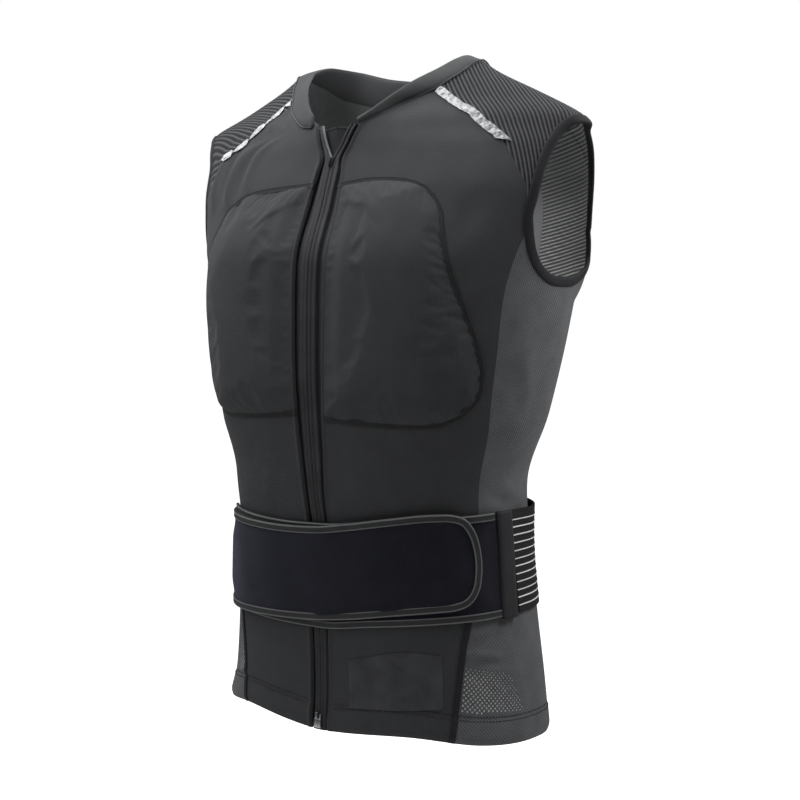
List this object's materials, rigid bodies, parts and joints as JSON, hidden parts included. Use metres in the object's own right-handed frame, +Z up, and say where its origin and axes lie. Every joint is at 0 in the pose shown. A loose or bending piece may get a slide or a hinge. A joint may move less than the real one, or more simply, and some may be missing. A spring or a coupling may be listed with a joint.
{
  "type": "back protector vest",
  "caption": "Sleeveless zip-front protector vest with padded chest panels, rib-knit shoulders, mesh sides, a padded back and a wide hook-and-loop waist belt.",
  "frame": {"origin": "midway between the two side-neck points, at the level of the shoulder seams, where the vest rests on the wearer", "axes": "+Z up, +X towards the wearer's left, +Y towards the wearer's back; the zip faces -Y"},
  "size_m": [0.4574, 0.2662, 0.6547],
  "materials": {
    "front_knit": "matt charcoal stretch knit",
    "rib_knit": "matt dark grey rib knit",
    "side_mesh": "open grey mesh knit",
    "edge_binding": "black folded elastic binding",
    "zip_tape": "black woven tape",
    "reflective_film": "silver reflective film on cloth",
    "neck_knit": "soft grey brushed knit",
    "zip_metal": "worn bright metal",
    "pocket_mesh": "fine charcoal mesh",
    "belt_loop_cloth": "blue-black brushed loop cloth",
    "belt_edging": "grey folded edging",
    "belt_elastic": "black woven elastic with white lines",
    "webbing": "black folded webbing"
  },
  "bodies": {
    "root": {"front_panel_left": "front_knit", "shoulder_yoke_left": "rib_knit", "side_panel_left": "side_mesh", "back_side_left": "rib_knit", "armhole_binding_left": "edge_binding", "zip_tape_left": "zip_tape", "chest_pad_left": "front_knit", "reflective_strip_left": "reflective_film", "front_panel_right": "front_knit", "shoulder_yoke_right": "rib_knit", "side_panel_right": "side_mesh", "back_side_right": "rib_knit", "armhole_binding_right": "edge_binding", "zip_tape_right": "zip_tape", "chest_pad_right": "front_knit", "reflective_strip_right": "reflective_film", "back_panel": "front_knit", "back_protector": "front_knit", "neck_band": "neck_knit", "zip_underlap": "zip_tape", "zip_slider": "zip_metal", "zip_pin_box": "zip_metal", "mesh_pocket": "pocket_mesh", "belt_wing_binding": "belt_edging", "belt_wing": "belt_loop_cloth", "belt_flap_binding": "belt_edging", "belt_flap": "belt_loop_cloth", "belt_elastic": "belt_elastic", "belt_tab_left": "webbing", "belt_tab_right": "webbing"}
  },
  "joints": []
}
